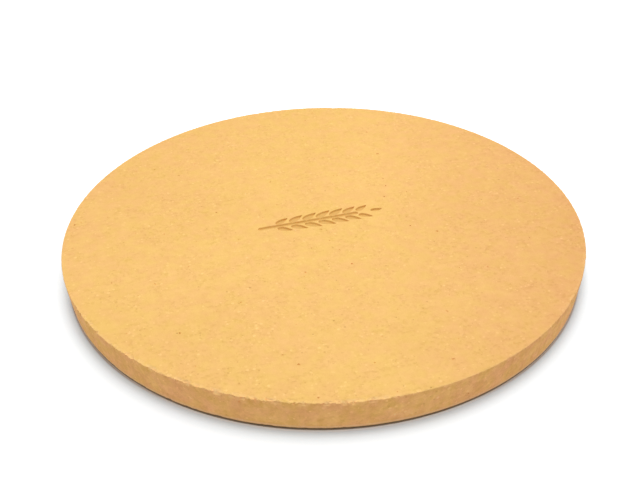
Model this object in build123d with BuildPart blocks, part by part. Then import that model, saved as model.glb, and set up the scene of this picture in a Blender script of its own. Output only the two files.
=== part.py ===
from build123d import *
import os
from math import radians, tan

# Round pizza stone: one disc of buff cordierite, pressed between two punches in a die and fired.
# Its wall has the draft that lets it leave the die, so it is widest just below the baking face.
# A low bevel runs round the resting face, so that this edge doesn't chip when the stone is slid on a rack.
# It has no hollow, joint or fastener, so it is a single solid.
# The origin is at the centre of the resting face and +Z points up to the baking face.
# All lengths are in millimetres and angles in degrees.

# Sizes of the die: its mouth sets the diameter and its filling sets the thickness
diameter = 380.0
thickness = 24.0
wall_draft_angle = 5.3

# Bevel round the resting face
bevel_width = 3.2
bevel_height = 1.5

# Rounded edges at the two ends of the wall
baking_arris_radius = 0.9
bevel_arris_radius = 0.5

# The half section is drawn with sharp corners, and the upper one lies a little outside the rim,
# by as much as its rounding takes away
half_corner_angle = radians((90 - wall_draft_angle) / 2)
rim_radius = diameter / 2
upper_corner_radius = rim_radius + baking_arris_radius * (1 / tan(half_corner_angle) - 1)
wall_height = thickness - bevel_height
lower_corner_radius = upper_corner_radius - wall_height * tan(radians(wall_draft_angle))
resting_face_radius = lower_corner_radius - bevel_width

# Half section, from the axis out along the resting face, up the bevel and the wall,
# and back along the baking face
with BuildPart() as pizza_stone:
    with BuildSketch(Plane.XZ) as half_section:
        with BuildLine() as outline:
            resting_face = Line((0, 0), (resting_face_radius, 0))
            bevel = Line(resting_face @ 1, (lower_corner_radius, bevel_height))
            wall = Line(bevel @ 1, (upper_corner_radius, thickness))
            baking_face = Line(wall @ 1, (0, thickness))
            press_axis = Line(baking_face @ 1, (0, 0))
        make_face()
        lower_corner = half_section.vertices().sort_by_distance(wall @ 0)[0]
        fillet(lower_corner, bevel_arris_radius)
        upper_corner = half_section.vertices().sort_by_distance(wall @ 1)[0]
        fillet(upper_corner, baking_arris_radius)
    revolve(axis=Axis.Z)

pizza_stone.part.label = "pizza_stone"

os.makedirs("parts", exist_ok=True)
export_step(pizza_stone.part, "parts/pizza_stone.step")

cubic_mm_per_litre = 1e6
volume_litres = pizza_stone.part.volume / cubic_mm_per_litre
box = pizza_stone.part.bounding_box()
print(f"pizza_stone: {volume_litres:.3f} l, box from {box.min} to {box.max}")
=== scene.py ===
# %% [markdown]
# # A pizza stone of fired cordierite
#
# The object is one disc, pressed from damp ceramic granules in a steel die and then fired. Its looks
# come from few things: a flat face, a straight wall, two rounded edges that crumble a little, a shallow
# stamp, open pores, and a warm sandy body. This lesson makes each of them in turn.
#
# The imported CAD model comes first. It fixes the place and size of everything that follows, so the two
# main sizes of the stone are read from it and not typed again.

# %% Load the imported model
from math import cos, pi, radians, sin

import bpy
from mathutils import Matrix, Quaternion, Vector


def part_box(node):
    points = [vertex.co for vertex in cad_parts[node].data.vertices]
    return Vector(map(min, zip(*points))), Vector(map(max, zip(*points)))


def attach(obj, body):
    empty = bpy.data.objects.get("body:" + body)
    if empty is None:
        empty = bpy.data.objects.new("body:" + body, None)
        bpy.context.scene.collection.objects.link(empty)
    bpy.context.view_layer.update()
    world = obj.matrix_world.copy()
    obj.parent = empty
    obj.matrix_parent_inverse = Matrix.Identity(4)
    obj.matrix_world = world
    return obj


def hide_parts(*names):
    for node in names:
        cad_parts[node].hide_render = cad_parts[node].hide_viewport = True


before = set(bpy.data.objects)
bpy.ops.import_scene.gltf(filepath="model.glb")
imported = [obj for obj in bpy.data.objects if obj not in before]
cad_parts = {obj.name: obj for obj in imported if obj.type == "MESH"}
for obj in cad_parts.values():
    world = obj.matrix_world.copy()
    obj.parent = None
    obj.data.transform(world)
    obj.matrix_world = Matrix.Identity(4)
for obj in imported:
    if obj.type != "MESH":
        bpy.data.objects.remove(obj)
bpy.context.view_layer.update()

stone_low, stone_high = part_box("pizza_stone")
radius = (stone_high.x - stone_low.x) / 2
thickness = stone_high.z - stone_low.z
mm = 0.001
print(f"stone: {2 * radius / mm:.1f} mm across, {thickness / mm:.1f} mm thick")

# %% [markdown]
# ## The camera
#
# The two outlines of the rim in the picture, above and below, are ellipses, and together they fix where
# the camera stood. It looks down from 35 degrees, from quite close, so the near wall looks thicker than
# the sides do. A camera can be moved about by eye until the picture fits, but working its place out from
# the ellipses is surer. It is written as a direction and a distance from the middle of the resting face,
# and three small turns take up how the camera was held.

# %% Where the camera stood
picture_width = 640
focal_pixels = 834.7
camera_azimuth, camera_elevation = radians(-15.5), radians(34.856)
camera_distance = 636.9 * mm
camera_roll, camera_pan, camera_tilt = radians(-1.071), radians(-0.221), radians(-0.047)

back = Vector((
    sin(camera_azimuth) * cos(camera_elevation),
    -cos(camera_azimuth) * cos(camera_elevation),
    sin(camera_elevation),
))
print(f"the camera stood {back.z * camera_distance / mm:.0f} mm above the floor")

# %% Place the camera
sensor_width = 36.0
camera = bpy.data.objects.new("camera", bpy.data.cameras.new("camera"))
camera.data.sensor_width = sensor_width
camera.data.lens = focal_pixels / picture_width * sensor_width
camera.location = back * camera_distance
camera.rotation_mode = "QUATERNION"
camera.rotation_quaternion = (
    back.to_track_quat("Z", "Y")
    @ Quaternion((0, 1, 0), -camera_pan)
    @ Quaternion((1, 0, 0), camera_tilt)
    @ Quaternion((0, 0, 1), camera_roll)
)
bpy.context.scene.collection.objects.link(camera)
bpy.context.scene.camera = camera
print(f"camera: {camera.data.lens:.1f} mm lens, {camera_distance:.2f} m away")

# %% [markdown]
# ## Writing node trees as formulas
#
# The stone's shape and its finish are both node trees. They could be wired by hand in the node editor,
# but a tree with a hundred Math nodes is hard to read and to change. So `Wire` stands for a value on its
# way through a tree, and knows how to add, subtract, multiply and divide. `a * b + c` then makes two
# Math nodes and links them.

# %% A value on its way through a tree
class Wire:
    """A value on its way through a node tree."""

    def __init__(self, tree, socket):
        self.tree, self.socket = tree, socket

    def math(self, operation, *others):
        return math_node(self.tree, operation, self, *others)

    def __add__(self, other):
        return self.math("ADD", other)

    def __sub__(self, other):
        return self.math("SUBTRACT", other)

    def __rsub__(self, other):
        return math_node(self.tree, "SUBTRACT", other, self)

    def __mul__(self, other):
        return self.math("MULTIPLY", other)

    def __truediv__(self, other):
        return self.math("DIVIDE", other)

    def __rtruediv__(self, other):
        return math_node(self.tree, "DIVIDE", other, self)

    __radd__, __rmul__ = __add__, __mul__

    def over(self, low, high, start=0.0, end=1.0, smooth=False):
        """Takes the stretch from low to high to the one from start to end, and stops there."""
        feeds = {"Value": self, "From Min": low, "From Max": high, "To Min": start, "To Max": end}
        kind = "SMOOTHSTEP" if smooth else "LINEAR"
        return add(self.tree, "ShaderNodeMapRange", feeds, interpolation_type=kind)["Result"]

    def until(self, low, high, start=1.0, smooth=False):
        """Stays at start up to low, and has gone down to 0 at high."""
        return self.over(low, high, start, 0.0, smooth)


# %% Nodes and links
class Outputs:
    """What a node puts out, by name or number, as wires."""

    def __init__(self, tree, node):
        self.tree, self.node = tree, node

    def __getitem__(self, name):
        return Wire(self.tree, self.node.outputs[name])


def feed(tree, socket, value):
    """Links a wire to a socket, or sets the socket to a plain value."""
    if isinstance(value, Wire):
        tree.links.new(value.socket, socket)
    else:
        socket.default_value = value


def add(tree, kind, feeds=(), **settings):
    """Adds a node, sets its options, feeds its inputs, and hands back its outputs."""
    node = tree.nodes.new(kind)
    for option, value in settings.items():
        setattr(node, option, value)
    for name, value in dict(feeds).items():
        feed(tree, node.inputs[name], value)
    return Outputs(tree, node)


# %% Nodes for numbers and vectors
def math_node(tree, operation, *values):
    return add(tree, "ShaderNodeMath", enumerate(values), operation=operation)[0]


def hypotenuse(first, second):
    """The distance that two wires at right angles make."""
    return (first * first + second * second).math("SQRT")


def vector_math(tree, operation, vector, other):
    """Adds or multiplies two vectors, or scales one by a number."""
    second = "Scale" if operation == "SCALE" else 1
    return add(tree, "ShaderNodeVectorMath", {0: vector, second: other}, operation=operation)[0]


def vector_of(tree, x=0.0, y=0.0, z=0.0):
    return add(tree, "ShaderNodeCombineXYZ", {"X": x, "Y": y, "Z": z})[0]


def parts_of(tree, vector):
    return add(tree, "ShaderNodeSeparateXYZ", {0: vector})


# %% Start and end of a tree
socket_kinds = {float: "Float", int: "Int", tuple: "Vector"}


def start_tree(name, kind, inputs, outputs):
    """Makes an empty tree with named sockets, and hands back the tree and its inputs.

    An input is written as its value, or as the word for its kind where it has no value of its own.
    """
    tree = bpy.data.node_groups.new(name, kind)
    for label, value in inputs.items():
        is_word = isinstance(value, str)
        shape = value if is_word else socket_kinds[type(value)]
        socket = tree.interface.new_socket(label, in_out="INPUT", socket_type="NodeSocket" + shape)
        if not is_word:
            socket.default_value = value
    for label, shape in outputs.items():
        tree.interface.new_socket(label, in_out="OUTPUT", socket_type="NodeSocket" + shape)
    return tree, add(tree, "NodeGroupInput")


def report(tree, step):
    print(f"tree {tree.name}, {step}: {len(tree.nodes)} nodes")


def end_tree(tree, results):
    add(tree, "NodeGroupOutput", results)
    report(tree, "finished")


# %% [markdown]
# ## The disc
#
# A lathe shape is often made by spinning a profile, which leaves a seam and two crowded poles to close.
# This disc starts as a cylinder with many rings and plain flat ends instead. Each ring is then moved to
# its place on the half section: out along the resting face, up the bevel, round the lower arris, up the
# wall, round the upper arris and in along the baking face. The rings are closest where the shape turns.

# %% Rings along a section
def part_shares(tree, ring, counts):
    """For each part of a section, how far along it a ring has come: 0 before it and 1 past it."""
    shares, start = [], 0
    for count in counts:
        shares.append(ring.over(start, start + count))
        start += count
    return shares


def ringed_cylinder(tree, around, counts):
    """A cylinder of radius 1 with a ring for each step, and the place and ring number of a point."""
    steps = sum(counts)
    sizes = {"Vertices": around, "Side Segments": steps, "Radius": 1.0, "Depth": float(steps)}
    mesh = add(tree, "GeometryNodeMeshCylinder", sizes, fill_type="NGON")["Mesh"]
    place = parts_of(tree, add(tree, "GeometryNodeInputPosition")[0])
    return mesh, place["X"], place["Y"], place["Z"] + steps / 2


def move_to(tree, mesh, x, y, z):
    feeds = {"Geometry": mesh, "Position": vector_of(tree, x, y, z)}
    return add(tree, "GeometryNodeSetPosition", feeds)["Geometry"]


# %% [markdown]
# The die gives the stone its section. The wall leans out by its draft, so that the stone leaves the die,
# and a low bevel keeps the lower edge from chipping when the stone is slid on a rack. The section could
# be a list of points, but then every change of size would need new ones. Here the same few sizes as in
# the CAD model give all of it: the corners before rounding, the centres of the two small arcs, and the
# stretches between them.

# %% Sizes of the pressed disc
disc, size = start_tree(
    "Pressed Disc",
    "GeometryNodeTree",
    {
        "Radius": 190 * mm,
        "Thickness": 24 * mm,
        "Wall Draft": radians(5.3),
        "Bevel Width": 3.2 * mm,
        "Bevel Height": 1.5 * mm,
        "Bevel Arris": 0.5 * mm,
        "Baking Arris": 0.9 * mm,
        "Border": 5 * mm,
        "Around": 2048,
        "Bite Length": 4.5 * mm,
        "Bite Depth": 1.2 * mm,
        "Crumb Size": 2.2 * mm,
        "Crumb Depth": 0.6 * mm,
        "Crumble Reach": 3.5 * mm,
        "Knocked Side": (-0.58, -0.815, 0.0),
        "Seed": 7,
    },
    {"Mesh": "Geometry"},
)
rings_on = {
    "resting face": 3,
    "bevel": 3,
    "lower arris": 4,
    "wall": 13,
    "upper arris": 7,
    "baking face": 8,
}
ring_counts = list(rings_on.values())
mesh, x, y, ring = ringed_cylinder(disc, size["Around"], ring_counts)
out, bevel, lower, up, upper, inward = part_shares(disc, ring, ring_counts)
print(f"half section: {sum(ring_counts)} steps on {len(rings_on)} parts")

# %% Corners and arcs of the half section
draft, bevel_arris, baking_arris = size["Wall Draft"], size["Bevel Arris"], size["Baking Arris"]
bevel_slope = size["Bevel Height"].math("ARCTAN2", size["Bevel Width"])
wall_lean, wall_plumb = draft.math("SINE"), draft.math("COSINE")
bevel_lean, bevel_plumb = bevel_slope.math("SINE"), bevel_slope.math("COSINE")

# Corners before rounding, as in the CAD model
upper_x = size["Radius"] + baking_arris * (wall_plumb / (1.0 - wall_lean) - 1.0)
lower_x = upper_x - (size["Thickness"] - size["Bevel Height"]) * draft.math("TANGENT")
foot_x = lower_x - size["Bevel Width"]

# Centres of the two small arcs: each lies its own radius inside both lines that it joins
upper_centre_x = size["Radius"] - baking_arris
upper_centre_z = size["Thickness"] - baking_arris
inset = bevel_arris / (1.0 + bevel_lean * wall_plumb + bevel_plumb * wall_lean)
lower_centre_x = lower_x - inset * (bevel_lean + wall_plumb)
lower_centre_z = size["Bevel Height"] + inset * (bevel_plumb + wall_lean)
report(disc, "corners and arcs")

# %% Seat the rings on the section
quarter_turn = pi / 2

# Directions in which a ring lies from its arc's centre, and the straight stretches between the arcs
lower_turn = (bevel_slope - quarter_turn) + lower * (quarter_turn - bevel_slope - draft)
upper_turn = upper * (quarter_turn + draft) - draft
bevel_run = lower_centre_x + bevel_arris * bevel_lean - foot_x
bevel_rise = lower_centre_z - bevel_arris * bevel_plumb
wall_run = upper_centre_x - lower_centre_x + (baking_arris - bevel_arris) * wall_plumb
wall_rise = upper_centre_z - lower_centre_z - (baking_arris - bevel_arris) * wall_lean
ring_radius = (
    foot_x + size["Border"] * (out - 1.0)
    + bevel_run * bevel
    + bevel_arris * (lower_turn.math("COSINE") - bevel_lean)
    + wall_run * up
    + baking_arris * (upper_turn.math("COSINE") - wall_plumb)
    - size["Border"] * inward
)
ring_height = (
    bevel_rise * bevel
    + bevel_arris * (lower_turn.math("SINE") + bevel_plumb)
    + wall_rise * up
    + baking_arris * (upper_turn.math("SINE") + wall_lean)
)
mesh = move_to(disc, mesh, x * ring_radius, y * ring_radius, ring_height)
report(disc, "rings seated")

# %% [markdown]
# A pressed edge is the weakest place of a stone. Granules break away from it when it leaves the die and
# whenever it is knocked. The chips could be cut one by one, but they are far too many. Two rules make
# them instead: long shallow bites, which come in some stretches of the rim and leave others clean, and
# small crumbs as large as the granules. Both only ever take material away, so the stone stays inside its
# size. What is lost at a point is also kept as its "wear", which the finish reads later.

# %% How near a point is to the two edges
lower_edge_share = 0.22
place = add(disc, "GeometryNodeInputPosition")[0]
across = parts_of(disc, place)
from_axis = hypotenuse(across["X"], across["Y"])
to_upper_corner = hypotenuse(size["Radius"] - from_axis, size["Thickness"] - across["Z"])
to_lower_corner = hypotenuse(lower_x - from_axis, across["Z"] - size["Bevel Height"])
reach = size["Crumble Reach"]
near_upper = to_upper_corner.until(baking_arris, reach, smooth=True)
near_lower = to_lower_corner.until(bevel_arris, reach, lower_edge_share, smooth=True)
print(f"the lower edge crumbles {lower_edge_share:.0%} as much as the upper one")

# %% Weak stretches of the rim
# A pair holds the values of a pattern between which a thing goes from none to all there is of it
knocked_fade = (0.74, 0.95)
weak_patch, weak_patch_fade, weak_patch_share = 60 * mm, (0.52, 0.66), 0.4
bite_fade = (0.48, 0.64)


def disc_noise(feature, detail):
    feeds = {"Vector": place, "W": size["Seed"], "Scale": 1.0 / feature, "Detail": detail}
    return add(disc, "ShaderNodeTexNoise", feeds, noise_dimensions="4D")[0]


knock_feeds = {0: place, 1: size["Knocked Side"]}
towards_knock = add(disc, "ShaderNodeVectorMath", knock_feeds, operation="DOT_PRODUCT")["Value"]
knocked = (towards_knock / size["Radius"]).over(*knocked_fade, smooth=True)
weak_patches = disc_noise(weak_patch, detail=1.0).over(*weak_patch_fade, 0.0, weak_patch_share)
weak_stretch = (knocked + weak_patches).math("MINIMUM", 1.0)
bites = disc_noise(size["Bite Length"], detail=2.0).over(*bite_fade, smooth=True) * weak_stretch
print(f"weak patches of the rim are about {weak_patch / mm:.0f} mm long")

# %% Take bites and crumbs away
granule_fade = (0.2, 0.9)
crumbs_everywhere = 0.35
full_wear = 1.0 * mm

cell_feeds = {"Vector": place, "W": size["Seed"], "Scale": 1.0 / size["Crumb Size"]}
crumb_cells = add(disc, "ShaderNodeTexVoronoi", cell_feeds, voronoi_dimensions="4D")
crumbs = crumb_cells["Distance"].until(*granule_fade)
crumb_share = crumbs_everywhere + (1.0 - crumbs_everywhere) * weak_stretch
loss = (near_upper + near_lower) * (
    bites * size["Bite Depth"] + crumbs * crumb_share * size["Crumb Depth"]
)
wear_feeds = {"Geometry": mesh, "Name": "wear", "Value": loss / full_wear}
wear_kind = {"data_type": "FLOAT", "domain": "POINT"}
mesh = add(disc, "GeometryNodeStoreNamedAttribute", wear_feeds, **wear_kind)["Geometry"]
inwards = vector_math(disc, "SCALE", add(disc, "GeometryNodeInputNormal")[0], loss * -1.0)
mesh = add(disc, "GeometryNodeSetPosition", {"Geometry": mesh, "Offset": inwards})["Geometry"]
end_tree(disc, {"Mesh": mesh})

# %% [markdown]
# ## The stamp
#
# The middle of the baking face carries a shallow stamp, a plain ear of wheat. On the real press a raised
# block leaves it, so the recess has drafted sides, a small round at its floor and a broken lip. It could
# be left to bump in the material, but its sides catch real light and shade, so it is cut. One cutter
# tree makes every stroke. It is a ringed cylinder again, a few rings high, pulled out to a kernel with
# one pointed end, or to a bar with two round ends for the stalk.

# %% One cutter for kernels and stalk
cutter, size = start_tree(
    "Stamp Cutter",
    "GeometryNodeTree",
    {
        "Length": 10 * mm,
        "Width": 4 * mm,
        "Straight": 0.0,
        "Point": 0.0,
        "Depth": 1 * mm,
        "Floor Round": 0.3 * mm,
        "Draft": 0.2 * mm,
        "Lip": 0.3 * mm,
    },
    {"Mesh": "Geometry"},
)
cutter_around = 22
cutter_rings = {"floor round": 1, "side": 1, "lip": 1, "clearance above the face": 1}
ring_counts = list(cutter_rings.values())
mesh, x, y, ring = ringed_cylinder(cutter, cutter_around, ring_counts)
floor_up, side_up, lip_up, clear_up = part_shares(cutter, ring, ring_counts)
grow = size["Floor Round"] * (floor_up - 1.0) + size["Draft"] * side_up + size["Lip"] * lip_up
height = (
    size["Floor Round"] * floor_up
    + (size["Depth"] - size["Floor Round"] - size["Lip"]) * side_up
    + size["Lip"] * (lip_up + clear_up)
    - size["Depth"]
)
report(cutter, "rings from the floor up")

# %% Pull the cutter out to a stroke
half_straight = size["Straight"] / 2
taper = ((1.0 - x) / 2).math("POWER", size["Point"] / 2)
half_length = size["Length"] / 2
long = x * (half_length - half_straight + grow) + x.math("SIGN") * half_straight
wide = y * (size["Width"] / 2 + grow) * taper
end_tree(cutter, {"Mesh": move_to(cutter, mesh, long + half_length, wide, height)})

# %% [markdown]
# The kernels sit in pairs along the stalk and one closes the tip. Each could be placed by hand, but a
# rule keeps them even and lets their number change. Points are laid out by their number alone: even ones
# on one side and odd ones on the other, with the last on the axis. A cutter is placed on each of them,
# turned outwards, and made a little smaller towards both ends of the ear.

# %% Places of the kernels
ear, size = start_tree(
    "Wheat Ear Stamp",
    "GeometryNodeTree",
    {
        "Stamp Length": 98 * mm,
        "Stalk Length": 14 * mm,
        "Stalk Width": 3 * mm,
        "Kernel Pairs": 7,
        "Kernel Spacing": 10.4 * mm,
        "Kernel Length": 13.2 * mm,
        "Kernel Width": 7 * mm,
        "Kernel Angle": radians(30),
        "Side Gap": 2.7 * mm,
        "Depth": 1 * mm,
    },
    {"Cutters": "Geometry"},
)
number = add(ear, "GeometryNodeInputIndex")[0]
pair = (number / 2).math("FLOOR")
in_pair = number.math("LESS_THAN", size["Kernel Pairs"] * 2)
side = (number.math("MODULO", 2.0) * 2 - 1.0) * in_pair
kernel_x = size["Stalk Length"] - size["Stamp Length"] / 2 + pair * size["Kernel Spacing"]
kernel_place = vector_of(ear, kernel_x, side * size["Side Gap"])
point_feeds = {"Count": size["Kernel Pairs"] * 2 + 1, "Position": kernel_place}
points = add(ear, "GeometryNodePoints", point_feeds)[0]
report(ear, "points laid out")

# %% A kernel on every point
# How far along the ear its fullest kernels sit, and how fast they shrink to both sides of them
fullest_at, shrinking = 0.4, 0.22

kernel_feeds = {
    "Length": size["Kernel Length"],
    "Width": size["Kernel Width"],
    "Point": 1.0,
    "Depth": size["Depth"],
}
kernel = add(ear, "GeometryNodeGroup", kernel_feeds, node_tree=cutter)["Mesh"]
from_fullest = (pair / size["Kernel Pairs"] * 2 - 2 * fullest_at).math("ABSOLUTE")
kernel_scale = 1.0 - from_fullest.math("POWER", 2.0) * shrinking
kernel_turn = vector_of(ear, z=side * size["Kernel Angle"])
on_points = {
    "Points": points,
    "Instance": kernel,
    "Rotation": add(ear, "FunctionNodeEulerToRotation", {0: kernel_turn})[0],
    "Scale": vector_of(ear, kernel_scale, kernel_scale, 1.0),
}
kernels = add(ear, "GeometryNodeInstanceOnPoints", on_points)[0]
report(ear, "kernels in place")


# %% The stalk and the whole ear
def join(tree, parts):
    """Joins geometries in the order in which they are listed."""
    node = tree.nodes.new("GeometryNodeJoinGeometry")
    for part in parts:
        tree.links.new(part.socket, node.inputs[0])
    return Wire(tree, node.outputs[0])


stalk_reach = size["Stalk Length"] + size["Kernel Spacing"] * (size["Kernel Pairs"] - 1.0)
stalk_feeds = {
    "Length": stalk_reach,
    "Width": size["Stalk Width"],
    "Straight": stalk_reach - size["Stalk Width"],
    "Depth": size["Depth"],
}
stalk = add(ear, "GeometryNodeGroup", stalk_feeds, node_tree=cutter)["Mesh"]
stalk_start = vector_of(ear, size["Stamp Length"] * -0.5)
stalk = add(ear, "GeometryNodeTransform", {"Geometry": stalk, "Translation": stalk_start})[0]
stalk = add(ear, "GeometryNodeGeometryToInstance", {0: stalk})[0]
end_tree(ear, {"Cutters": join(ear, [kernels, stalk])})

# %% [markdown]
# ## Open pores
#
# Gas and lost granules leave small pits all over a fired body. Most are too fine to see one by one and
# belong to the finish. The largest show in profile and hold a shadow, so they are cut as real hollows:
# points are spread over the stone from a fixed seed, and one of a few dented balls, turned at random, is
# taken out at each. A few shapes are enough, since nobody sees two equal pits side by side.

# %% Points for the pores
pores, size = start_tree(
    "Open Pores",
    "GeometryNodeTree",
    {
        "Body": "Geometry",
        "Per Square Metre": 1500.0,
        "Smallest": 0.25 * mm,
        "Largest": 0.9 * mm,
        "Seed": 3,
    },
    {"Cutters": "Geometry"},
)
spread_feeds = {"Mesh": size["Body"], "Density": size["Per Square Metre"], "Seed": size["Seed"]}
spread = add(pores, "GeometryNodeDistributePointsOnFaces", spread_feeds)
report(pores, "points spread")

# %% Dented balls
ball_segments, ball_rings = 9, 6
ball_shapes, shape_step = 6, 3.1
dent_scale, dent_fade, dent_range = 1.1, (0.3, 0.7), (0.6, 1.3)

ball_feeds = {"Segments": ball_segments, "Rings": ball_rings, "Radius": 1.0}
ball = add(pores, "GeometryNodeMeshUVSphere", ball_feeds)["Mesh"]
on_ball = add(pores, "GeometryNodeInputPosition")[0]


def dented_ball(shape):
    """A ball pushed in and out by noise, which is read at a place of its own for each shape."""
    read_at = vector_math(pores, "ADD", on_ball, (shape_step * shape, 0.0, 0.0))
    noise_feeds = {"Vector": read_at, "Scale": dent_scale, "Detail": 1.0}
    dents = add(pores, "ShaderNodeTexNoise", noise_feeds)[0].over(*dent_fade, *dent_range)
    dented = vector_math(pores, "SCALE", on_ball, dents)
    pit = add(pores, "GeometryNodeSetPosition", {"Geometry": ball, "Position": dented})["Geometry"]
    return add(pores, "GeometryNodeGeometryToInstance", {0: pit})[0]


pit_shapes = join(pores, [dented_ball(shape) for shape in range(ball_shapes)])
print(f"pores: {ball_shapes} shapes of pit")

# %% Size and turn of each pore
size_lot, long_lot, wide_lot, spin_lot, shape_lot = 1, 2, 3, 4, 9
pore_long, pore_wide, pore_deep = (0.8, 1.5), (0.7, 1.1), 0.8
few_large = 3.0


def chance(lot, low=0.0, high=1.0):
    """A number drawn for each pore. Each lot is a draw of its own."""
    drawn = add(pores, "FunctionNodeRandomValue", {"Seed": size["Seed"] + lot}, data_type="FLOAT")
    return drawn[1].over(0.0, 1.0, low, high)


largest_share = chance(size_lot).math("POWER", few_large)
pore_size = size["Smallest"] + (size["Largest"] - size["Smallest"]) * largest_share
pore_scale = vector_of(
    pores,
    pore_size * chance(long_lot, *pore_long),
    pore_size * chance(wide_lot, *pore_wide),
    pore_size * pore_deep,
)
spin = vector_of(pores, z=chance(spin_lot, 0.0, 2 * pi))
turn_feeds = {0: spread["Rotation"], 1: add(pores, "FunctionNodeEulerToRotation", {0: spin})[0]}
pore_turn = add(pores, "FunctionNodeRotateRotation", turn_feeds, rotation_space="LOCAL")[0]
report(pores, "sizes and turns drawn")

# %% A pit on every point
first_shape, last_shape = 0, ball_shapes - 1
shape_feeds = {4: first_shape, 5: last_shape, "Seed": size["Seed"] + shape_lot}
on_points = {
    "Points": spread["Points"],
    "Instance": pit_shapes,
    "Pick Instance": True,
    "Instance Index": add(pores, "FunctionNodeRandomValue", shape_feeds, data_type="INT")[2],
    "Rotation": pore_turn,
    "Scale": pore_scale,
}
end_tree(pores, {"Cutters": add(pores, "GeometryNodeInstanceOnPoints", on_points)[0]})

# %% [markdown]
# ## Putting the stone together
#
# One last tree presses the disc, takes out the stamp and the pores, and marks every edge that turns
# sharply. A bevel round each cut would soften it too, at the cost of many faces. Marking the edges keeps
# the flat face and the cuts crisp, while the arrises shade smoothly.

# %% The blank and its cutters
stone_tree, size = start_tree(
    "Pizza Stone",
    "GeometryNodeTree",
    {
        "Radius": 190 * mm,
        "Thickness": 24 * mm,
        "Stamp Depth": 1.4 * mm,
        "Pores per Square Metre": 1500.0,
        "Same Place": 0.014 * mm,
        "Seed": 7,
        "Finish": "Material",
    },
    {"Stone": "Geometry"},
)
body_feeds = {"Radius": size["Radius"], "Thickness": size["Thickness"], "Seed": size["Seed"]}
body = add(stone_tree, "GeometryNodeGroup", body_feeds, node_tree=disc)["Mesh"]
stamp_feeds = {"Depth": size["Stamp Depth"]}
stamp = add(stone_tree, "GeometryNodeGroup", stamp_feeds, node_tree=ear)["Cutters"]
on_face = {"Geometry": stamp, "Translation": vector_of(stone_tree, z=size["Thickness"])}
stamp = add(stone_tree, "GeometryNodeTransform", on_face)[0]
pit_feeds = {
    "Body": body,
    "Per Square Metre": size["Pores per Square Metre"],
    "Seed": size["Seed"],
}
pits = add(stone_tree, "GeometryNodeGroup", pit_feeds, node_tree=pores)["Cutters"]
report(stone_tree, "blank and cutters")

# %% Cut the stamp and the pores
cut = stone_tree.nodes.new("GeometryNodeMeshBoolean")
cut.operation, cut.solver = "DIFFERENCE", "MANIFOLD"
stone_tree.links.new(body.socket, cut.inputs["Mesh 1"])
for cutters in (stamp, pits):
    stone_tree.links.new(cutters.socket, cut.inputs["Mesh 2"])

# Cuts through the long thin faces of the flat ends leave some points nearly in the same place. They are
# drawn together along their shared edges, in a mesh of triangles, where this can't turn a face over.
cut_mesh = {"Mesh": Wire(stone_tree, cut.outputs["Mesh"])}
triangles = add(stone_tree, "GeometryNodeTriangulate", cut_mesh, ngon_method="BEAUTY")[0]
merge_feeds = {"Geometry": triangles, "Distance": size["Same Place"]}
clean = add(stone_tree, "GeometryNodeMergeByDistance", merge_feeds, mode="CONNECTED")[0]
report(stone_tree, "cut and cleaned")

# %% Mark the sharp edges and end the tree
sharpest_soft_edge = radians(28)
edge_turn = add(stone_tree, "GeometryNodeInputMeshEdgeAngle")["Unsigned Angle"]
turns = {0: edge_turn, 1: sharpest_soft_edge}
is_soft = add(stone_tree, "FunctionNodeCompare", turns, operation="LESS_THAN")[0]
shade_feeds = {"Geometry": clean, "Shade Smooth": is_soft}
shaded = add(stone_tree, "GeometryNodeSetShadeSmooth", shade_feeds, domain="EDGE")[0]
real = add(stone_tree, "GeometryNodeRealizeInstances", {"Geometry": shaded})[0]
painted = {"Geometry": real, "Material": size["Finish"]}
end_tree(stone_tree, {"Stone": add(stone_tree, "GeometryNodeSetMaterial", painted)[0]})

# %% [markdown]
# A tree does nothing until an object's modifier runs it. The modifier could stay on the stone, but the
# frame wants a plain mesh. So a blank object runs the tree with the sizes of the packed
# model, its result becomes the mesh of the stone, and the blank goes away.

# %% Make the stone a plain mesh
def set_input(modifier, name, value):
    """Sets a modifier's input, which is known by its socket's identifier and not by its name."""
    for socket in modifier.node_group.interface.items_tree:
        if socket.item_type == "SOCKET" and socket.in_out == "INPUT" and socket.name == name:
            modifier[socket.identifier] = value
            return
    raise KeyError(name)


finish = bpy.data.materials.new("cordierite_finish")
blank = bpy.data.objects.new("stone_blank", bpy.data.meshes.new("stone_blank"))
bpy.context.scene.collection.objects.link(blank)
maker = blank.modifiers.new("Pizza Stone", "NODES")
maker.node_group = stone_tree
for name, value in {"Radius": radius, "Thickness": thickness, "Finish": finish}.items():
    set_input(maker, name, value)
evaluated = blank.evaluated_get(bpy.context.evaluated_depsgraph_get())
stone = bpy.data.objects.new("stone", bpy.data.meshes.new_from_object(evaluated))
stone.data.name = "stone"
bpy.context.scene.collection.objects.link(stone)
bpy.data.objects.remove(blank)
stone.data.calc_loop_triangles()
print(f"stone: {len(stone.data.vertices)} points, {len(stone.data.loop_triangles)} triangles")
print("attributes:", [a.name for a in stone.data.attributes])

# %% [markdown]
# ## The fired finish
#
# Cordierite fires to a warm sandy buff with no glaze, so nothing on it shines. What makes it look like
# ceramic and not like painted wood is what lies in the body: granules of slightly different tone, pale
# bits of crushed fired clay, a few dark specks of iron, pinholes, and broad patches that were warmer or
# cooler in the kiln. One long material could hold it all. Each of them is a small group with named
# inputs instead, so that it can serve another material, and puts out only values for colour, roughness
# and height.

# %% Helpers for colours and patterns
seed_steps = {"x": 0.37, "y": 0.71, "z": 0.53}


def moved(tree, vector, seed):
    """Moves the place at which a pattern is read, so that two uses of it don't repeat each other."""
    step = vector_of(tree, **{axis: seed * share for axis, share in seed_steps.items()})
    return vector_math(tree, "ADD", vector, step)


def shader_noise(tree, vector, feature, detail):
    feeds = {"Vector": vector, "Scale": 1.0 / feature, "Detail": detail}
    return add(tree, "ShaderNodeTexNoise", feeds)[0]


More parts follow.
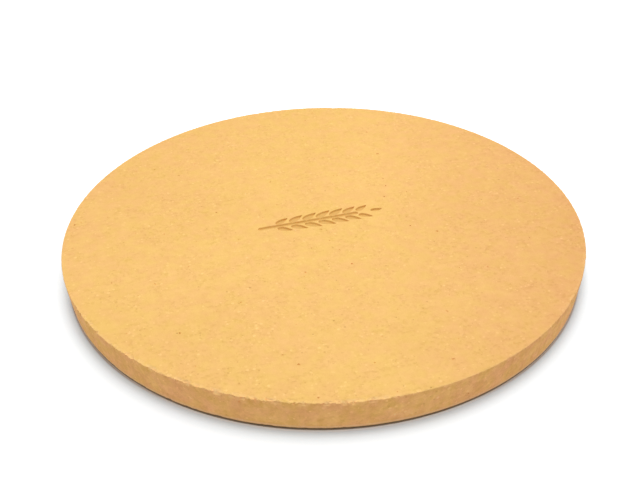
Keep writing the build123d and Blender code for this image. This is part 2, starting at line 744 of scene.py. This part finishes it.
def swing(noise, most=1.0, low=0.3, high=0.7):
    """Takes noise, which seldom leaves its middle, to both sides of 0."""
    return noise.over(low, high, -most, most)


def color_parts(tree, color):
    return add(tree, "ShaderNodeSeparateColor", {0: color})


def blend(tree, share, first, second):
    """Goes from the first colour to the second as the share goes from 0 to 1."""
    return add(tree, "ShaderNodeMix", {0: share, 6: first, 7: second}, data_type="RGBA")[2]


# %% [markdown]
# The body is pressed from granules that keep their own tone when they are fired. Noise alone looks like
# cloth or paper. Cells look like granules, since each has an edge and one tone of its own, so they carry
# the pattern here, with clumps of them above it in size and dust below.

# %% Granules of the pressed body
grain, size = start_tree(
    "Granule Grain",
    "ShaderNodeTree",
    {
        "Vector": "Vector",
        "Clump Size": 5 * mm,
        "Granule Size": 2.5 * mm,
        "Dust Size": 1.2 * mm,
        "Granule Height": 0.11 * mm,
    },
    {"Tone": "Float", "Height": "Float"},
)
own_share, dust_share, clump_share = 0.42, 0.28, 0.42
dome_share, dome_edge = 0.6, 0.8
granule_feeds = {"Vector": size["Vector"], "Scale": 1.0 / size["Granule Size"]}
cells = add(grain, "ShaderNodeTexVoronoi", granule_feeds)
own_tone = color_parts(grain, cells["Color"])[0].over(0.0, 1.0, -1.0, 1.0)
dust = swing(shader_noise(grain, size["Vector"], size["Dust Size"], detail=1.5))
clumps = swing(shader_noise(grain, size["Vector"], size["Clump Size"], detail=1.0))
dome = cells["Distance"].until(0.0, dome_edge)
end_tree(grain, {
    "Tone": own_tone * own_share + dust * dust_share + clumps * clump_share,
    "Height": size["Granule Height"] * (dome * dome_share + dust * (1.0 - dome_share)),
})

# %% [markdown]
# Specks and pinholes could be painted one by one, and there are thousands. They follow one rule instead:
# space is divided into cells, and some of the cells hold one round spot, whose size is drawn by lot.
# Pale bits, iron specks and pinholes differ only in the inputs.

# %% Scattered spots
spots, size = start_tree(
    "Scattered Spots",
    "ShaderNodeTree",
    {
        "Vector": "Vector",
        "Spacing": 5 * mm,
        "Share of Cells": 0.5,
        "Smallest": 0.3 * mm,
        "Largest": 0.8 * mm,
        "Seed": 0.0,
    },
    {"Mask": "Float"},
)
solid_core = 0.55
spots_at = moved(spots, size["Vector"], size["Seed"])
cells = add(spots, "ShaderNodeTexVoronoi", {"Vector": spots_at, "Scale": 1.0 / size["Spacing"]})
lots = color_parts(spots, cells["Color"])
spot_radius = size["Smallest"] + (size["Largest"] - size["Smallest"]) * lots[1] * lots[1]
distance = cells["Distance"] * size["Spacing"]
spot = (distance / spot_radius).until(solid_core, 1.0, smooth=True)
end_tree(spots, {"Mask": spot * lots[0].math("LESS_THAN", size["Share of Cells"])})

# %% [markdown]
# No two places in a kiln are equally hot, and no two handfuls of granules equally damp. So a fired face
# is never one even tone. A picture of clouds would show this, but soft noise in two sizes does it
# without one. Each size puts out two patterns at once, the red and the green part of its colour: one
# turns the stone warmer or cooler, the other lighter or darker.

# %% Patches from the kiln
patches, size = start_tree(
    "Kiln Patches",
    "ShaderNodeTree",
    {
        "Vector": "Vector",
        "Small Patch": 9 * mm,
        "Broad Patch": 70 * mm,
        "Seed": 0.0,
    },
    {"Warmth": "Float", "Tone": "Float"},
)
small_warmth, broad_warmth, warmth_middle = 0.7, 0.3, (0.35, 0.65)
small_tone, broad_tone = 0.6, 0.4
patches_at = moved(patches, size["Vector"], size["Seed"])


def two_patterns(patch, detail):
    feeds = {"Vector": patches_at, "Scale": 1.0 / patch, "Detail": detail}
    return color_parts(patches, add(patches, "ShaderNodeTexNoise", feeds)["Color"])


small = two_patterns(size["Small Patch"], detail=1.5)
broad = two_patterns(size["Broad Patch"], detail=1.0)
end_tree(patches, {
    "Warmth": swing(small[0], small_warmth, *warmth_middle)
    + swing(broad[0], broad_warmth, *warmth_middle),
    "Tone": swing(small[1], small_tone) + swing(broad[1], broad_tone),
})

# %% [markdown]
# The die leaves its own trace on the wall: granules caught between the stone and the steel are dragged
# upwards as the stone is pushed out, which draws faint upright streaks. On the faces the punch leaves
# groups of fine dimples where damp granules stuck to it. The streaks are plain noise, read in a space
# that is squeezed in height, which pulls every spot out to a line.

# %% Traces of the die and the punch
traces, size = start_tree(
    "Press Traces",
    "ShaderNodeTree",
    {
        "Vector": "Vector",
        "Streak Width": 2.2 * mm,
        "Streak Stretch": 7.0,
        "Dimple Size": 3 * mm,
        "Dimple Field": 14 * mm,
    },
    {"Streaks": "Float", "Dimples": "Float", "Rough Field": "Float"},
)
field_fade, field_least, dimple_fade = (0.40, 0.60), 0.3, (0.5, 0.66)
squeeze = vector_of(traces, 1.0, 1.0, 1.0 / size["Streak Stretch"])
drawn_out = vector_math(traces, "MULTIPLY", size["Vector"], squeeze)
streaks = swing(shader_noise(traces, drawn_out, size["Streak Width"], detail=1.0))
field = shader_noise(traces, size["Vector"], size["Dimple Field"], detail=0.0)
field = field.over(*field_fade, field_least, 1.0)
dimples = shader_noise(traces, size["Vector"], size["Dimple Size"], detail=1.0).over(*dimple_fade)
end_tree(traces, {"Streaks": streaks, "Dimples": dimples * field, "Rough Field": field})

# %% [markdown]
# ## The finish of the stone
#
# The stone is one piece with one material, and yet its wall, its two faces, its edges and the stamp each
# look different. Painted masks could tell them apart, but they would have to be painted again for every
# change of shape. The material asks the shape instead. How far a point lies below the baking face tells
# the recess of the stamp from the open face, the way the surface faces tells the wall from the two
# faces, and the attribute "wear" tells where the edge crumbled.

# %% Where on the stone a point lies
finish.use_nodes = True
tree = finish.node_tree
shader = tree.nodes["Principled BSDF"]
place = add(tree, "ShaderNodeTexCoord")["Object"]
spot_at = parts_of(tree, place)
from_axis = hypotenuse(spot_at["X"], spot_at["Y"])
below_top = thickness - spot_at["Z"]
worn_fade = (0.1, 0.9)
facing_up = parts_of(tree, add(tree, "ShaderNodeNewGeometry")["Normal"])["Z"]
worn = add(tree, "ShaderNodeAttribute", attribute_name="wear")["Fac"].over(*worn_fade)
print(f"finish {finish.name}: {len(tree.nodes)} nodes that read the shape")

# %% Masks for the parts of the stone
# A pair of lengths says between which two places a mask goes from none to all, or the other way
face_end = (radius - 3.2 * mm, radius - 2.6 * mm)
recess_start, recess_end = (0.2 * mm, 0.7 * mm), (3.0 * mm, 4.0 * mm)
foot_end = (3.3 * mm, 4.1 * mm)
bevel_top, bevel_start = (1.85 * mm, 2.3 * mm), (radius - 9.0 * mm, radius - 6.0 * mm)

# A pair of shares says between which two slopes it does so: 1 faces up and 0 faces sideways
wall_slopes = (0.35, 0.75)
arris_upper_slopes, arris_lower_slopes = (0.995, 0.93), (0.1, 0.45)

inside_rim = from_axis.until(*face_end)
recess = below_top.over(*recess_start) * below_top.until(*recess_end) * inside_rim
wall = facing_up.until(*wall_slopes) * (1.0 - recess)
# The arris mask carries a painted highlight into the tone and a smoother rub into the roughness
arris_highlight_and_rub = facing_up.over(*arris_upper_slopes) * facing_up.over(*arris_lower_slopes)
arris_highlight_and_rub = arris_highlight_and_rub * (1.0 - inside_rim)
# A pale band along the wall's foot is a painted highlight
foot_highlight = spot_at["Z"].until(*foot_end) * wall
# The bevel mask reaches up over the lower arris and takes painted shade there: the dark line under the
# wall
bevel = spot_at["Z"].until(*bevel_top) * from_axis.over(*bevel_start)
print(f"the wall's foot is rubbed up to {foot_end[1] / mm:.1f} mm above the resting face")

# %% [markdown]
# The groups from above now go into the material, each with its own values. Pale bits, iron specks and
# pinholes are one group three times, with other sizes and another seed. Specks show most where the
# punch left the face rough, so the field of the dimples also says where they crowd.

# %% What lies in the body
grain_here = add(tree, "ShaderNodeGroup", {"Vector": place}, node_tree=grain)
patch_here = add(tree, "ShaderNodeGroup", {"Vector": place, "Seed": 2.0}, node_tree=patches)
trace_here = add(tree, "ShaderNodeGroup", {"Vector": place}, node_tree=traces)


def spots_here(spacing, share, smallest, largest, seed):
    feeds = {
        "Vector": place,
        "Spacing": spacing * mm,
        "Share of Cells": share,
        "Smallest": smallest * mm,
        "Largest": largest * mm,
        "Seed": seed,
    }
    return add(tree, "ShaderNodeGroup", feeds, node_tree=spots)["Mask"]


pale_bits = spots_here(spacing=3.2, share=0.60, smallest=0.50, largest=1.3, seed=1.0)
iron_specks = spots_here(spacing=3.6, share=0.55, smallest=0.40, largest=1.0, seed=2.0)
pinholes = spots_here(spacing=8.0, share=0.50, smallest=0.35, largest=0.8, seed=3.0)
crowding = trace_here["Rough Field"]
print(f"finish {finish.name}: {len(tree.nodes)} nodes with what lies in the body")

# %% [markdown]
# The colour starts from one buff for the faces and one for the wall, and three things shift it. The tone
# makes it lighter or darker: granules and patches, streaks on the wall, dimples on the faces, a painted
# highlight along the arris, and painted light and shade up the wall, lighter at its foot and darker
# towards the rim. The warmth is what the kiln's patches add. The falloff shade is painted shade on the
# baking face, darkest towards its right side in the picture, with about a third of it on the side behind.
# It takes more green out of the buff than red or blue.
#
# A single mix from dark to light would be simpler. But blue falls faster than red in a darker buff, and
# so each of the three has its own share in red, green and blue.

# %% Tone of the body
grain_tone, grain_tone_on_wall = 0.038, 0.100
patch_tone, patch_tone_on_wall = 0.035, 0.045
streak_tone, dimple_tone, arris_highlight_tone = 0.022, 0.06, 0.10
pale_tone, pale_tone_on_wall, pale_tone_crowded = 0.03, 0.06, 0.12
foot_light_tone, rim_shade_tone = 0.080, -0.045

# Painted light and shade up the wall: lighter at its foot, darker towards the rim
wall_height_light = spot_at["Z"].over(0.0, thickness, foot_light_tone, rim_shade_tone) * wall
tone = (
    grain_here["Tone"] * (wall * grain_tone_on_wall + grain_tone)
    + patch_here["Tone"] * (wall * patch_tone_on_wall + patch_tone)
    + trace_here["Streaks"] * wall * streak_tone
    - trace_here["Dimples"] * (1.0 - wall) * dimple_tone
    + arris_highlight_and_rub * arris_highlight_tone
    + wall_height_light
    + pale_bits * (crowding * pale_tone_crowded + wall * pale_tone_on_wall + pale_tone)
)
print(f"tone of the wall: {foot_light_tone:+.3f} at its foot, {rim_shade_tone:+.3f} at the rim")

# %% Warmth and painted falloff shade
# Painted shade of the light's falloff: the baking face is darker towards the right in the picture, and a
# third as much towards the side behind it, far from the camera
right_way = round(cos(camera_azimuth), 2), round(sin(camera_azimuth), 2)
far_way, far_share = (-0.6, 0.8), 0.35
side_fade = (0.2, 1.0)
warmth_more_on_wall = 0.8


def towards(way):
    """How far a point lies towards a side of the stone."""
    along = spot_at["X"] * (way[0] / radius) + spot_at["Y"] * (way[1] / radius)
    return along.over(*side_fade)


warmth = patch_here["Warmth"] * (wall * warmth_more_on_wall + 1.0)
# Painted shade over the baking face, darker towards its right and far sides
heat = (towards(far_way) * far_share + towards(right_way)) * (1.0 - wall)
print(f"hot side: {right_way} over the baking face")

# %% Shift of red, green and blue
# The parts x, y and z of a vector stand for red, green and blue
shares = {
    "x": {"plain": 1.0, "tone": 0.80, "warmth": 0.004, "heat": -0.10},
    "y": {"plain": 1.0, "tone": 1.0, "warmth": -0.030, "heat": -0.20},
    "z": {"plain": 1.02, "tone": 1.9, "warmth": 0.06, "heat": -0.10},
}
shift = vector_of(tree, **{
    axis: part["plain"] + tone * part["tone"] + warmth * part["warmth"] + heat * part["heat"]
    for axis, part in shares.items()
})
face_buff = (0.905, 0.545, 0.168, 1.0)
wall_buff = (0.905, 0.490, 0.168, 1.0)
color = vector_math(tree, "MULTIPLY", blend(tree, wall, face_buff, wall_buff), shift)
print(f"finish {finish.name}: {len(tree.nodes)} nodes up to the body's colour")

# %% [markdown]
# Over this body lie further layers, each over the ones before it: iron specks, pale granules where the
# edge crumbled, a painted highlight along the wall's foot, painted shade in the recess of the stamp and in
# the cut pores of the baking face, pinholes painted dark as the shade in them, and painted shade on the
# bevel and the lower arris, which makes the dark line under the wall. The recess's floor is painted darker
# than its sides, which the lamp already shades, and the way the surface faces tells them apart. All could
# be mixed in one long formula, but a list of layers is easier to read and to put in another order.

# %% Layers over the body
pale_crumb = (1.0, 0.660, 0.300, 1.0)
foot_highlight_buff = (0.960, 0.620, 0.340, 1.0)
iron_and_pit_shade_brown = (0.450, 0.190, 0.035, 1.0)
recess_side_shade = (0.790, 0.510, 0.155, 1.0)
recess_floor_shade = (0.710, 0.415, 0.120, 1.0)
bevel_painted_shade = (0.190, 0.100, 0.040, 1.0)
recess_slopes = (0.6, 0.95)
speck_cover, speck_cover_crowded, pinhole_shade_cover = 0.07, 0.18, 0.35
crumb_cover, crumb_cover_less_on_wall = 0.7, 0.62
foot_highlight_cover, recess_shade_cover, bevel_shade_cover = 0.6, 0.8, 0.85

# The recess of the stamp and of the cut pores is painted darker as shade, its floor more than its sides
recess_shade = blend(tree, facing_up.over(*recess_slopes), recess_side_shade, recess_floor_shade)
layers = [
    (iron_specks * (crowding * speck_cover_crowded + speck_cover), iron_and_pit_shade_brown),
    (worn * (crumb_cover - wall * crumb_cover_less_on_wall), pale_crumb),
    (foot_highlight * foot_highlight_cover, foot_highlight_buff),
    (recess * recess_shade_cover, recess_shade),
    # Pinholes are painted dark brown as the shade inside them, in the colour of the iron specks
    (pinholes * pinhole_shade_cover, iron_and_pit_shade_brown),
    (bevel * bevel_shade_cover, bevel_painted_shade),
]
for cover, layer_color in layers:
    color = blend(tree, cover, color, layer_color)
feed(tree, shader.inputs["Base Color"], color)
print(f"colour: {len(layers)} layers over the body")

# %% [markdown]
# Bare fired ceramic is rough all over. It is a little smoother where hands and racks rub the arris, and
# roughest where granules broke away. The relief is one height in metres, a sum of what each pattern adds
# or takes away, and the Bump node tilts the surface to match. Displacing real points this finely would
# take millions of faces. On the wall the steel of the die pressed most of the granules flat.

# %% Roughness and relief
body_roughness, grain_roughness, worn_roughness, rubbed_roughness = 0.86, 0.04, 0.08, 0.06
specular_level = 0.25
pale_height, streak_height = 0.05 * mm, 0.03 * mm
pinhole_depth, dimple_depth = 0.22 * mm, 0.19 * mm
pressed_flat_on_wall = 0.63

roughness = (
    body_roughness
    + grain_here["Tone"] * grain_roughness
    + worn * worn_roughness
    - arris_highlight_and_rub * rubbed_roughness
)
feed(tree, shader.inputs["Roughness"], roughness)
shader.inputs["Specular IOR Level"].default_value = specular_level
relief = (
    grain_here["Height"] * (1.0 - wall * pressed_flat_on_wall)
    + pale_bits * pale_height
    - pinholes * pinhole_depth
    - trace_here["Dimples"] * dimple_depth
    + trace_here["Streaks"] * wall * streak_height
)
bumps = add(tree, "ShaderNodeBump", {"Height": relief, "Distance": 1.0, "Strength": 1.0})[0]
feed(tree, shader.inputs["Normal"], bumps)
print(f"finish {finish.name}: {len(tree.nodes)} nodes")

# %% [markdown]
# ## The floor
#
# The stone lies on white paper that runs on past the picture on all sides. Stronger lamps would turn
# paper white as well, and bleach the stone. So the white comes from the colour of the floor alone, and
# only a ray that shows the background, from the camera or from a mirror or glass, meets it. Any other
# ray meets plain paper, so the colours of the stone stay as they are written.

# %% What a ray sees
def shows_background(tree):
    """1 for a ray that shows the background in the picture, in a reflection or through glass."""
    path = add(tree, "ShaderNodeLightPath")
    seen = path["Is Camera Ray"].math("MAXIMUM", path["Is Glossy Ray"])
    return seen.math("MAXIMUM", path["Is Transmission Ray"])


# %% A sheet of paper
half_floor = 6.0
floor_height = -0.2 * mm
corners = ((-1, -1), (1, -1), (1, 1), (-1, 1))
floor_mesh = bpy.data.meshes.new("floor")
floor_mesh.from_pydata(
    [(side_x * half_floor, side_y * half_floor, floor_height) for side_x, side_y in corners],
    [],
    [tuple(range(len(corners)))],
)
floor = bpy.data.objects.new("floor", floor_mesh)
bpy.context.scene.collection.objects.link(floor)
floor_paint = bpy.data.materials.new("floor_paint")
floor_paint.use_nodes = True
floor_mesh.materials.append(floor_paint)
tree = floor_paint.node_tree
floor_shader = tree.nodes["Principled BSDF"]
floor_shader.inputs["Roughness"].default_value = 1.0
floor_shader.inputs["Specular IOR Level"].default_value = 0.0
print(f"floor: {2 * half_floor:.0f} m square")

# %% [markdown]
# Close to the stone, soft shade is painted into the floor's white, over the shadow that the lamp casts.
# The air gap under the bevel is painted warm and dark, as light that has bounced off the stone would make
# it, a narrow band just outside it is painted lighter, and further out the paper is painted slightly
# blue, as shade is. A colour ramp over the distance from the rim holds these whites, written in mm beyond
# the rim. At the two sides of the picture, where the wall is seen edge-on, painted shade also draws a fine
# dark line where the stone touches the paper.

# %% Whites and painted shade over the distance from the rim
floor_whites_and_shade = {
    -3.2: (0.50, 0.38, 0.26),
    -2.6: (0.80, 0.66, 0.52),
    -2.0: (1.35, 1.28, 1.18),
    -1.0: (0.90, 0.97, 1.04),
    0.5: (0.92, 1.06, 1.18),
    4.0: (1.08, 1.23, 1.36),
    7.0: (1.13, 1.26, 1.36),
    12.0: (1.20, 1.25, 1.30),
    21.0: (1.40, 1.40, 1.40),
}
brightest = 1.5
nearest, farthest = min(floor_whites_and_shade), max(floor_whites_and_shade)
floor_at = parts_of(tree, add(tree, "ShaderNodeTexCoord")["Object"])
from_centre = hypotenuse(floor_at["X"], floor_at["Y"])
white_ramp = tree.nodes.new("ShaderNodeValToRGB")
stops = white_ramp.color_ramp.elements
stops.remove(stops[1])
for beyond_rim, white in floor_whites_and_shade.items():
    share = (beyond_rim - nearest) / (farthest - nearest)
    stop = stops.new(share) if share else stops[0]
    stop.position = share
    stop.color = [part / brightest for part in white] + [1.0]
along_ramp = from_centre.over(radius + nearest * mm, radius + farthest * mm)
feed(tree, white_ramp.inputs[0], along_ramp)
print(f"floor: {len(stops)} whites from {nearest} to {farthest} mm beyond the rim")

# %% Painted shade where the sides of the stone touch the paper
right_x, right_y = right_way
no_shade, contact_shade = (1.0, 1.0, 1.0, 1.0), (0.40, 0.30, 0.24, 1.0)
line_start = (radius - 2.4 * mm, radius - 1.9 * mm)
line_end = (radius - 2.0 * mm, radius - 0.8 * mm)
side_start = (0.45 * radius, 0.7 * radius)

sideways = (floor_at["X"] * right_x + floor_at["Y"] * right_y).math("ABSOLUTE")
beside = sideways.over(*side_start) * from_centre.over(*line_start) * from_centre.until(*line_end)
side_shade = blend(tree, beside, no_shade, contact_shade)
near_white = Wire(tree, white_ramp.outputs["Color"])
near_white = vector_math(tree, "MULTIPLY", near_white, side_shade)
print(f"contact line: from {side_start[0] / mm:.0f} mm to the side of the middle")

# %% Paint the floor
far_fade, far_brighter = (0.4, 1.5), 1.4
plain_paper = (0.8, 0.8, 0.8, 1.0)

far_off = from_centre.over(*far_fade, 1.0, far_brighter)
seen_white = vector_math(tree, "SCALE", near_white, far_off * brightest)
paper = blend(tree, shows_background(tree), plain_paper, seen_white)
feed(tree, floor_shader.inputs["Base Color"], paper)
print(f"finish {floor_paint.name}: {len(tree.nodes)} nodes")

# %% [markdown]
# ## The light
#
# One large soft lamp hangs behind the stone and above it, and the sky around it is plain white. So the
# baking face is bright, the near wall is in its own shade, and a soft shadow comes out from under the
# rim. Several small lamps could do this, but each would draw a shadow of its own, and the picture has
# only the one.

# %% The sky
sky_level, seen_sky_level = 0.548, 1.0
world = bpy.data.worlds.new("studio")
world.use_nodes = True
bpy.context.scene.world = world
tree = world.node_tree
sky = tree.nodes["Background"]
sky.inputs["Color"].default_value = (1.0, 1.0, 1.0, 1.0)
feed(tree, sky.inputs["Strength"], shows_background(tree).over(0.0, 1.0, sky_level, seen_sky_level))
print(f"sky: {sky_level} on the stone, {seen_sky_level} in the picture")

# %% The soft lamp
softbox_place = Vector((0.12, 0.2, 1.3))
softbox_width = 1.4
softbox_watts = 12.4
softbox = bpy.data.objects.new("softbox", bpy.data.lights.new("softbox", "AREA"))
softbox.data.shape = "SQUARE"
softbox.data.size = softbox_width
softbox.data.energy = softbox_watts
softbox.location = softbox_place
softbox.rotation_mode = "QUATERNION"
softbox.rotation_quaternion = softbox_place.to_track_quat("Z", "Y")
bpy.context.scene.collection.objects.link(softbox)
bpy.context.scene.view_settings.view_transform = "Standard"
print(f"softbox: {softbox_width} m square, {softbox_place.length:.2f} m from the stone")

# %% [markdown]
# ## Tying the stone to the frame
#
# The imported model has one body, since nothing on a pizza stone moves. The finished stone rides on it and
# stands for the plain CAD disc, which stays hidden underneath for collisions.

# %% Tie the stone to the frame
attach(stone, "root")
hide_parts("pizza_stone")
